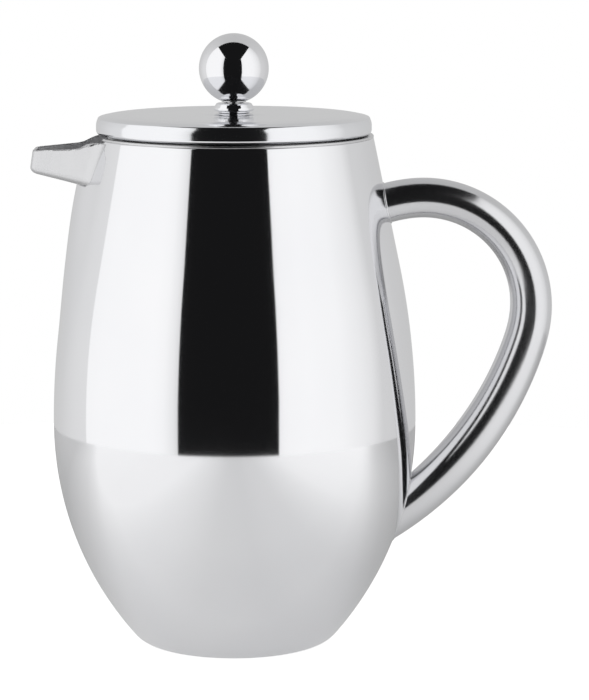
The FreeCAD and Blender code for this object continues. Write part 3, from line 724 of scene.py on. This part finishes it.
shell = place(makeShell(), "pot", "polished_steel", mirrorSteel, "outer_shell")
thicken = shell.modifiers.new("sheet", "SOLIDIFY")
thicken.thickness = shellShape["wall"] * mm
thicken.offset = -1
thicken.use_even_offset = True

vesselShape = {
    "round": 16.0,     # radius between wall and floor, outside
    "wall": 0.6,
    "lipRound": 0.35,  # rolled outer edge of the rim
}


# The liner: floor, round, straight wall and the rim that laps outward over the shell.
def makeVessel():
    v = vesselShape
    floor = low("inner_vessel", 2)
    outside = boreRadius + v["wall"]
    lip = rimHeight - 0.8
    inner = [(0, floor + v["wall"], 0), (boreRadius, floor + v["wall"], v["round"] - v["wall"]),
             (boreRadius, rimHeight, 0.5), (rimRadius, rimHeight, v["lipRound"]),
             (rimRadius + 0.1, lip, 0.2), (outside, lip, 0), (outside, floor, v["round"]), (0, floor, 0)]
    line = roundedLine(inner, 0.5)
    # upright stretches beside the beak get a point every 0.45 mm
    rises = np.abs(np.diff(line[:, 1], append=line[-1, 1]))
    filled = []
    for k, rise in enumerate(rises):
        filled.append(line[k:k + 1])
        if rise > 0.5 and line[k, 1] > rimHeight - 24:
            share = np.linspace(0, 1, int(rise / 0.45) + 1, endpoint=False)[1:, None]
            filled.append(line[k] + (line[k + 1] - line[k]) * share)
    line = np.concatenate(filled)
    turns = turnsAround(300, 0.3)
    flat = carriedRound(line, turns + np.pi)
    faces = gridFaces(len(line), len(turns), closeColumns=True)
    faces = faces[~inNotch(flat, 0.35)[faces].all(axis=1)]
    return meshFromArrays("innerLiner", flat, faces)


place(makeVessel(), "pot", "satin_steel", satinSteel, "inner_vessel")

baseRadius = high("base_cap", 1)
base = place(turned("baseDisc", [
    (0, 0, 0), (baseRadius - 2.05, 0, 0.3), (baseRadius - 2.05, 0.8, 0), (baseRadius, 0.8, 0.1),
    (baseRadius, 1.6, 0.2), (0, 1.6, 0)], closed=False), "pot", "satin_steel", satinSteel, "base_cap")
print("pot walls made")


handleShape = {
    "gripRadius": 38.9,                 # centre line round the hand
    "gripStand": 2.4,                   # its centre beyond the belly
    "gripDrop": 61.5,                   # and below the rim
    "topTurn": 98.6, "footTurn": -16.7,  # degrees where the grip meets the upper and lower bows
    "topBow": 64.5, "footBow": 122.4,   # radii of those bows
    "topSweep": 26.0, "footSweep": 50.0,  # degrees of each, sunk into the pot before trimming
    "places": (0.0, 0.16, 0.36, 0.52, 0.74, 1.0),   # shares of the way along, for the thicknesses
    "thick": (14.4, 14.2, 14.4, 15.5, 16.4, 15.2),  # in the plane of the loop
    "deep": (15.2, 15.4, 15.8, 16.4, 16.8, 15.6),   # across it
    "wall": 1.0,
    "bead": 0.42,                       # weld bead's radius
}


# Centre line from the upper joint to the lower one: heading turned by three bows whose bend is blended,
# then walked forward in small steps.
def handleWay():
    h = handleShape
    cx, cz = bellyRadius + h["gripStand"], rimHeight - h["gripDrop"]
    top, foot = math.radians(h["topTurn"]), math.radians(h["footTurn"])
    topSweep, footSweep = math.radians(h["topSweep"]), math.radians(h["footSweep"])
    lengths = [h["topBow"] * topSweep, h["gripRadius"] * (top - foot), h["footBow"] * footSweep]
    step = 0.25
    s = np.arange(0, sum(lengths), step)
    bend = np.where(s < lengths[0], 1 / h["topBow"],
                    np.where(s < lengths[0] + lengths[1], 1 / h["gripRadius"], 1 / h["footBow"]))
    window = np.hanning(2 * int(9 / step) + 1)
    pad = len(window) // 2
    bend = np.convolve(np.pad(bend, pad, mode="edge"), window / window.sum(), mode="valid")
    apart = h["topBow"] - h["gripRadius"]
    topX, topZ = cx - apart * math.cos(top), cz - apart * math.sin(top)
    startAngle = top + topSweep
    x0, z0 = topX + h["topBow"] * math.cos(startAngle), topZ + h["topBow"] * math.sin(startAngle)
    heading = startAngle - np.pi / 2 - np.concatenate([[0], np.cumsum(bend[:-1]) * step])
    x = x0 + np.concatenate([[0], np.cumsum(np.cos(heading[:-1] - bend[:-1] * step / 2)) * step])
    z = z0 + np.concatenate([[0], np.cumsum(np.sin(heading[:-1] - bend[:-1] * step / 2)) * step])
    return s, x, z, heading


wayS, wayX, wayZ, wayHeading = handleWay()


# A smooth curve through a few values: straight interpolation, then a moving average.
def smoothThrough(places, values, at):
    fine = np.linspace(0, 1, 401)
    line = np.interp(fine, places, values)
    window = np.hanning(81)
    padded = np.pad(line, 40, mode="edge")
    return np.interp(at, fine, np.convolve(padded, window / window.sum(), mode="valid"))


# Points on the handle's surface at lengths s and angles spin round the section (0 faces out of the
# loop, 90 degrees faces back), moved inward by thinner.
def tubePoint(s, spin, thinner):
    h = handleShape
    x, z = np.interp(s, wayS, wayX), np.interp(s, wayS, wayZ)
    heading = np.interp(s, wayS, wayHeading)
    share = s / wayS[-1]
    thick = smoothThrough(h["places"], h["thick"], share) / 2 - thinner
    deep = smoothThrough(h["places"], h["deep"], share) / 2 - thinner
    outX, outZ = -np.sin(heading), np.cos(heading)
    across = np.cos(spin) * thick
    return np.stack([x + outX * across, np.sin(spin) * deep, z + outZ * across], -1)


# For each angle round the section, the lengths where the tube's surface meets the pot's wall.
def jointLengths(spin, thinner, sink):
    s = np.linspace(0, wayS[-1], 900)
    points = tubePoint(s[:, None] + 0 * spin, spin[None] + 0 * s[:, None], thinner)
    clear = np.hypot(points[..., 0], points[..., 1]) - wallRadius(points[..., 2]) + sink
    outside = clear > 0
    middle = len(s) // 2
    firstIn = middle - np.argmax(~outside[:middle][::-1], axis=0)
    lastIn = middle + np.argmax(~outside[middle:], axis=0) - 1
    column = np.arange(len(spin))
    step = s[1] - s[0]
    start = s[firstIn] - step * clear[firstIn, column] / (clear[firstIn, column] - clear[firstIn - 1, column])
    end = s[lastIn] + step * clear[lastIn, column] / (clear[lastIn, column] - clear[lastIn + 1, column])
    return start, end


# One pressed half: outer and inner skins from joint to joint, closed along the seam and the ends.
def makeHandleHalf(name, side):
    spin = np.linspace(0, np.pi, 33) * side
    w = np.linspace(0, 1, 260)[:, None]
    w = w - 0.08 * np.sin(2 * np.pi * w) / (2 * np.pi)      # rings a little closer near the joints
    skins = []
    for thinner in (0.0, handleShape["wall"]):
        start, end = jointLengths(spin, thinner, 0.15)
        s = start + (end - start) * w
        skins.append(tubePoint(s, spin + 0 * s, thinner).reshape(-1, 3))
    rows, columns = len(w), len(spin)
    count = rows * columns
    faces = [gridFaces(rows, columns), gridFaces(rows, columns, offset=count)]
    for edge in (np.arange(columns), (rows - 1) * columns + np.arange(columns),
                 np.arange(rows) * columns, np.arange(rows) * columns + columns - 1):
        faces.append(np.stack([edge[:-1], edge[1:], edge[1:] + count, edge[:-1] + count], -1))
    return meshFromArrays(name, np.concatenate(skins), np.concatenate(faces))


# Marks edges steeper than an angle as sharp, so that flat shading stays flat beside them.
def sharpen(piece, angle=50):
    work = bmesh.new()
    work.from_mesh(piece.data)
    for edge in work.edges:
        if len(edge.link_faces) == 2 and edge.calc_face_angle(0) > math.radians(angle):
            edge.smooth = False
    work.to_mesh(piece.data)
    work.free()
    return piece


# Weld beads: a thin tube carried round each curve where the handle meets the pot.
def makeBeads():
    spin = np.linspace(0, 2 * np.pi, 120, endpoint=False)
    around = np.linspace(0, 2 * np.pi, 10, endpoint=False)
    points, faces = [], []
    for end, length in enumerate(jointLengths(spin, 0.0, 0.0)):
        curve = tubePoint(length, spin, 0.0)
        along = closedAlong(curve)
        outward = unitRows(curve * np.array([1, 1, 0]))
        sideways = unitRows(np.cross(along, outward))
        upright = np.cross(sideways, along)
        ring = curve[:, None] + handleShape["bead"] * (
            np.cos(around)[:, None] * sideways[:, None] + np.sin(around)[:, None] * upright[:, None])
        faces.append(gridFaces(len(spin), len(around), True, True, offset=end * len(spin) * len(around)))
        points.append(ring.reshape(-1, 3))
    return meshFromArrays("handleWelds", np.concatenate(points), np.concatenate(faces))


for name, side, node in (("handleFront", -1, "handle_front_half"), ("handleBack", 1, "handle_back_half")):
    half = sharpen(makeHandleHalf(name, side))
    place(half, "pot", "polished_steel", handleSteel, node)
place(makeBeads(), "pot", "polished_steel", handleSteel)
print("handle made")


lidShape = {
    "edge": 6.0,        # height of the edge
    "lean": 2.0, "leanIn": 0.75,        # the edge leans in towards its top,
    "corner": 0.7,                      # turns quickly
    "shoulder": 45.0, "shoulderRise": 0.75,  # into a shallow shoulder
    "plateau": 38.0,                    # that ends in the nearly flat top
    "tuck": 1.5,        # radius underneath
    "hem": 1.1,         # flat hem under the edge
    "sheet": 0.8,
    "crown": 1.05,      # height of the top above the corner
    "coneFoot": 10.4, "coneTop": 6.3, "coneRise": 0.55,
    "spigot": 4.6,
}


# The cover: its outline goes out under the hem, up the edge, in over the shoulder to the cone and the
# spigot hole, and back one sheet thickness inside.
def makeLidCap():
    d = lidShape
    top = lidBottom + d["edge"]
    gauge = d["sheet"]
    coneTop = top + d["crown"] + d["coneRise"]
    return turned("lidCover", [
        (lidRadius - d["tuck"] - d["hem"], lidBottom, 0), (lidRadius, lidBottom, d["tuck"]),
        (lidRadius, top - d["lean"], 5.0), (lidRadius - d["leanIn"], top, d["corner"]),
        (d["shoulder"], top + d["shoulderRise"], 18.0), (d["plateau"], top + d["crown"], 30.0),
        (d["coneFoot"] + 1.2, top + d["crown"], 5.0),
        (d["coneTop"] + 0.6, coneTop - 0.25, 1.2), (d["spigot"], coneTop, 0),
        (d["spigot"], coneTop - gauge, 0), (d["coneTop"] + 0.6, coneTop - 0.25 - gauge, 1.5),
        (d["coneFoot"] + 1.2, top + d["crown"] - gauge, 4.0),
        (lidRadius - gauge, top - 1.4 * gauge, 2.0),
        (lidRadius - gauge, lidBottom + gauge, d["tuck"] - gauge),
        (lidRadius - d["tuck"] - d["hem"], lidBottom + gauge, 0)], segments=288, step=0.5)


place(makeLidCap(), "lid", "polished_steel", lidSteel, "lid_cap")

linerLow, linerHigh = low("lid_liner", 2), high("lid_liner", 2)
linerEdge = high("lid_liner", 1)
place(turned("lidLiner", [
    (lidShape["spigot"], linerLow, 0), (linerEdge, linerLow, 0.1), (linerEdge, linerHigh, 0.1),
    (lidShape["spigot"], linerHigh, 0)]), "lid", "satin_steel", satinSteel, "lid_liner")

place(mergedCopy("strainerSkirt", "lid_skirt"), "lid", "satin_steel", satinSteel, "lid_skirt")

collarShape = {"bore": 3.65, "neck": 5.6, "widest": 7.3, "top": 6.1}


# The turned ring: undercut neck, full belly just above it, and a long soft shoulder to the top.
def makeCollar():
    c = collarShape
    foot = lidBottom + lidShape["edge"] + lidShape["crown"] + lidShape["coneRise"]
    tall = collarTop - foot
    bottom = low("lid_collar", 2)
    spigot = lidShape["spigot"]
    return turned("lidCollar", [
        (c["bore"], bottom, 0), (spigot, bottom, 0.3), (spigot, foot, 0), (c["neck"], foot, 0),
        (c["neck"], foot + 0.14 * tall, 0.15), (c["widest"] - 0.25, foot + 0.2 * tall, 0.5),
        (c["widest"], foot + 0.42 * tall, 0.9), (c["top"] + 0.1, collarTop, 1.0),
        (c["bore"], collarTop, 0.25)], segments=160, step=0.3)


place(makeCollar(), "lid", "polished_steel", mirrorSteel, "lid_collar")


nut = place(mergedCopy("collarNut", "collar_nut", 20), "lid", "satin_steel", satinSteel, "collar_nut")
softenEdges(nut, 0.3, 2, 30)

guideShape = {"bore": 2.55, "sleeve": 3.6, "flange": 1.2}
guideLow, guideHigh = low("rod_guide", 2), high("rod_guide", 2)
guideStep = guideLow + guideShape["flange"]
guideFlange = high("rod_guide", 1)
place(turned("guideSleeve", [
    (guideShape["bore"], guideLow, 0.2), (guideFlange, guideLow, 0.3), (guideFlange, guideStep, 0.2),
    (guideShape["sleeve"], guideStep, 0), (guideShape["sleeve"], guideHigh, 0.3),
    (guideShape["bore"], guideHigh, 0.2)], segments=96, step=0.3),
    "guide", "nylon", nylon, "rod_guide")
print("lid made")


knobShape = {"flat": 4.8, "neck": 4.4, "hollow": 1.5}
rodRadius = 2.5
knobRadius = high("knob_ball", 1)


# The ball: a sphere cut flat underneath, with a wall and a small rounding at the cut.
def makeKnob():
    k = knobShape
    centre = knobTop - knobRadius
    flatAngle = -math.acos(k["flat"] / knobRadius)
    swing = np.linspace(np.pi / 2, flatAngle + 0.05, 110)
    outer = np.stack([knobRadius * np.cos(swing), centre + knobRadius * np.sin(swing)], -1)
    edge = roundedLine([(*outer[-1], 0), (k["flat"], knobBottom + 0.02, 0.12),
                        (k["neck"] - 0.6, knobBottom + 0.05, 0)], 0.2)
    hollow = knobRadius - k["hollow"]
    back = np.linspace(-math.acos(k["flat"] / hollow), np.pi / 2, 60)
    inner = np.stack([hollow * np.cos(back), centre + hollow * np.sin(back)], -1)
    line = np.concatenate([outer, edge[1:], inner])
    line[0, 0] = line[-1, 0] = 0
    turn = np.linspace(0, 2 * np.pi, 192, endpoint=False)
    return meshFromArrays("ballKnob", carriedRound(line, turn),
                          gridFaces(len(line), len(turn), closeColumns=True))


place(makeKnob(), "plunger", "polished_steel", mirrorSteel, "knob_ball")

insertLow, insertHigh = low("knob_insert", 2), high("knob_insert", 2)
rodTop = high("plunger_rod", 2)
place(turned("knobInsert", [
    (rodRadius, insertLow, 0.1), (knobShape["neck"], insertLow, 0.15),
    (knobShape["neck"], knobBottom + 0.1, 0), (knobShape["neck"], insertHigh, 0.3),
    (0, insertHigh, 0), (0, rodTop, 0), (rodRadius, rodTop, 0)],
    segments=96, closed=False), "plunger", "satin_steel", satinSteel, "knob_insert")

rodLow = low("plunger_rod", 2)
place(turned("plungerRod", [
    (0, rodLow, 0), (rodRadius, rodLow, 0.4), (rodRadius, rodTop, 0.3), (0, rodTop, 0)],
    segments=96, closed=False), "plunger", "satin_steel", satinSteel, "plunger_rod")


# A turned ring round the rod with softened outer edges.
def washerPiece(name, node, edge):
    bottom, top, radius = low(node, 2), high(node, 2), high(node, 1)
    return turned(name, [(rodRadius, bottom, 0), (radius, bottom, edge), (radius, top, edge),
                         (rodRadius, top, 0)], segments=128, step=0.3)


place(washerPiece("rodShoulder", "rod_shoulder", 0.5), "plunger", "satin_steel", satinSteel, "rod_shoulder")
place(washerPiece("clampHub", "cross_hub", 0.7), "plunger", "satin_steel", satinSteel, "cross_hub")
place(washerPiece("wireScreen", "filter_screen", 0.15), "plunger", "woven_steel", screenSteel,
      "filter_screen")
for name, node in (("pressurePlate", "pressure_plate"), ("crossPlate", "cross_plate")):
    place(mergedCopy(name, node), "plunger", "satin_steel", satinSteel, node)

coilShape = {"wire": 0.36, "turns": 150, "perTurn": 12, "sides": 6}


# The edge spring: a close helix wound on a circle, r = ring + coil cos(turn), z = mid + coil sin(turn),
# carried as a thin tube.
def makeCoil():
    c = coilShape
    lowZ, highZ = low("edge_spring", 2), high("edge_spring", 2)
    coil = (highZ - lowZ) / 2 - c["wire"]
    ring = high("edge_spring", 1) - (highZ - lowZ) / 2
    t = np.linspace(0, 2 * np.pi, c["turns"] * c["perTurn"], endpoint=False)
    wind = t * c["turns"]
    radial = np.stack([np.cos(t), np.sin(t), 0 * t], -1)
    up = np.array([0, 0, 1.0])
    outward = np.cos(wind)[:, None] * radial + np.sin(wind)[:, None] * up
    centre = ring * radial + coil * outward + np.array([0, 0, (lowZ + highZ) / 2])
    sideways = unitRows(np.cross(closedAlong(centre), outward))
    spin = np.linspace(0, 2 * np.pi, c["sides"], endpoint=False)
    tube = centre[:, None] + c["wire"] * (np.cos(spin)[:, None] * outward[:, None]
                                         + np.sin(spin)[:, None] * sideways[:, None])
    return meshFromArrays("edgeCoil", tube.reshape(-1, 3), gridFaces(len(t), len(spin), True, True))


place(makeCoil(), "plunger", "spring_wire", wireSteel, "edge_spring")
print("plunger made")


studio = {
    "tableRadius": 0.46,                # white round table
    # painted light and shade: how bright the sheet looks in a reflection, the share along X times the share
    # along Y, in metres; lower close to the pot as painted shade
    "tableGlowAcross": [(-0.46, 1.26), (-0.33, 1.23), (-0.24, 1.13), (-0.18, 1.04), (-0.11, 0.91), (-0.06, 0.82),
                    (-0.02, 0.73), (0.02, 0.71), (0.05, 0.74), (0.08, 0.75), (0.11, 0.81), (0.18, 0.95),
                    (0.25, 0.99), (0.46, 1.0)],
    "tableGlowAlong": [(-0.46, 1.0), (-0.1, 1.0), (-0.05, 0.97), (-0.02, 0.87), (0.0, 0.76), (0.03, 0.65),
                   (0.08, 0.56), (0.15, 0.47), (0.46, 0.45)],
    "tableMost": 0.98,                  # brightest that it may look in a reflection
    "tableView": 0.85,                  # its own glow towards the camera
    "tableLit": 0.27,                   # what the softboxes already give the sheet
    # upright cloths beside the table; their glow is given along Y
    "leftBox": {"stand": 0.75, "front": -1.12, "back": 0.17, "top": 1.22, "foot": -0.9,
                "glow": [(-1.12, 0.74), (-1.0, 0.85), (-0.8, 0.96), (-0.62, 0.99), (0.0, 0.98),
                         (0.17, 0.96)]},
    "rightBox": {"stand": 0.65, "front": -1.22, "back": 0.16, "top": 1.09, "foot": -0.9,
                 "glow": [(-1.22, 0.9), (-1.0, 0.96), (-0.6, 0.98), (-0.25, 0.96), (-0.05, 0.87),
                          (0.05, 0.8), (0.16, 0.66)]},
    "boxLight": 1.13,                   # brightness of the softboxes' cloth
    "domeRadius": 2.0, "domeLight": 0.62,
    "domeGlow": [(-2.0, 1.4), (-1.75, 1.33), (-1.3, 1.15), (-0.5, 0.98), (0.0, 0.96), (0.6, 0.98),
                 (1.4, 1.08), (2.0, 1.22)],     # along X
    "room": (0.009, 0.009, 0.0095),     # the dark room round the studio
    "view": 1.0,                        # brightness of the backdrop as the camera sees it
    "cameraSide": 0.0216, "cameraBack": 1.1, "cameraHeight": 0.275, "pitch": 8.71, "lens": 158.5,
}


# Adds a piece of studio gear; gear that isn't for the camera still shows in reflections.
def onStage(name, mesh, material, camera=False):
    mesh.materials.append(material)
    thing = addObject(name, mesh)
    thing.visible_camera = camera
    return thing


# Cloth that glows: the strength times a ramp along one object axis, given as (metres, share).
def glowMaterial(name, strength, axis, stops):
    material, tree, shader, vector = newMaterial(name)
    shader.inputs["Base Color"].default_value = (0, 0, 0, 1)
    shader.inputs["Specular IOR Level"].default_value = 0.0
    shader.inputs["Emission Strength"].default_value = strength
    split = tree.nodes.new("ShaderNodeSeparateXYZ")
    tree.links.new(vector, split.inputs[0])
    tree.links.new(rampAlong(tree, split.outputs[axis], stops), shader.inputs["Emission Color"])
    return material


# An upright sheet of glowing cloth beside the table.
def softBox(name, side):
    values = studio[name]
    x = side * values["stand"]
    mesh = bpy.data.meshes.new(name)
    mesh.from_pydata([(x, values["front"], values["foot"]), (x, values["back"], values["foot"]),
                      (x, values["back"], values["top"]), (x, values["front"], values["top"])],
                     [], [(0, 1, 2, 3)])
    return onStage(name, mesh, glowMaterial(name + "Cloth", studio["boxLight"], "Y", values["glow"]))


softBox("leftBox", -1)
softBox("rightBox", 1)


# The grey cloth behind: the part of a sphere whose points lie behind a slightly set-back plane.
def makeDome():
    rows, columns = 24, 64
    tilt = np.linspace(0.02, math.radians(82.5), rows)[:, None]
    around = np.linspace(0, 2 * np.pi, columns, endpoint=False)[None]
    radius = studio["domeRadius"]
    points = np.stack([radius * np.sin(tilt) * np.cos(around), radius * np.cos(tilt) + 0 * around,
                       radius * np.sin(tilt) * np.sin(around)], -1).reshape(-1, 3)
    mesh = bpy.data.meshes.new("backDome")
    faces = gridFaces(rows, columns, closeColumns=True).tolist()
    mesh.from_pydata(points.tolist(), [], faces + [list(range(columns))])
    return onStage("backDome", mesh, glowMaterial("domeCloth", studio["domeLight"], "X", studio["domeGlow"]))


makeDome()


# White table sheet with painted light. In reflections it glows by the product of its two ramps, which dip
# close to the pot as painted shade of the pot on the sheet, less what the softboxes already give it; towards
# the camera it is lifted to the white of the backdrop.
def sheetMaterial():
    material, tree, shader, vector = newMaterial("paleSheet")
    shader.inputs["Roughness"].default_value = 0.7
    shader.inputs["Specular IOR Level"].default_value = 0.1
    colour = rampBetween(tree, noiseOf(tree, vector, 3), (0, (0.54, 0.54, 0.537)), (1, (0.565, 0.565, 0.565)))
    tree.links.new(colour, shader.inputs["Base Color"])
    split = tree.nodes.new("ShaderNodeSeparateXYZ")
    tree.links.new(vector, split.inputs[0])
    # painted light and shade: the sheet's glow in reflections, lower close to the pot
    across = rampAlong(tree, split.outputs["X"], studio["tableGlowAcross"])
    along = rampAlong(tree, split.outputs["Y"], studio["tableGlowAlong"])
    both = math2(tree, "MULTIPLY", across, along)
    most = math2(tree, "MINIMUM", both, studio["tableMost"])
    left = math2(tree, "SUBTRACT", most, studio["tableLit"])
    choose = mixOf(tree, seenByCamera(tree), left, [studio["tableView"]] * 3)
    tree.links.new(choose, shader.inputs["Emission Color"])
    shader.inputs["Emission Strength"].default_value = 1.0
    return material


edge = np.linspace(0, 2 * np.pi, 128, endpoint=False)
table = bpy.data.meshes.new("roundTable")
table.from_pydata(carriedRound(np.array([[studio["tableRadius"], 0.0]]), edge).tolist(), [],
                  [list(range(len(edge)))])
onStage("roundTable", table, sheetMaterial(), camera=True)

world = bpy.data.worlds.new("studio")
bpy.context.scene.world = world
world.use_nodes = True
tree = world.node_tree
background = tree.nodes["Background"]
shade = mixOf(tree, seenByCamera(tree), studio["room"], [studio["view"]] * 3)
tree.links.new(shade, background.inputs["Color"])

camera = addObject("camera", bpy.data.cameras.new("camera"))
camera.data.lens = studio["lens"]
camera.data.sensor_width = 36
camera.data.clip_end = 100
camera.location = (studio["cameraSide"], -studio["cameraBack"], studio["cameraHeight"])
camera.rotation_euler = (math.radians(90 - studio["pitch"]), 0, 0)
bpy.context.scene.camera = camera
bpy.context.scene.view_settings.view_transform = "Standard"
print("studio made")
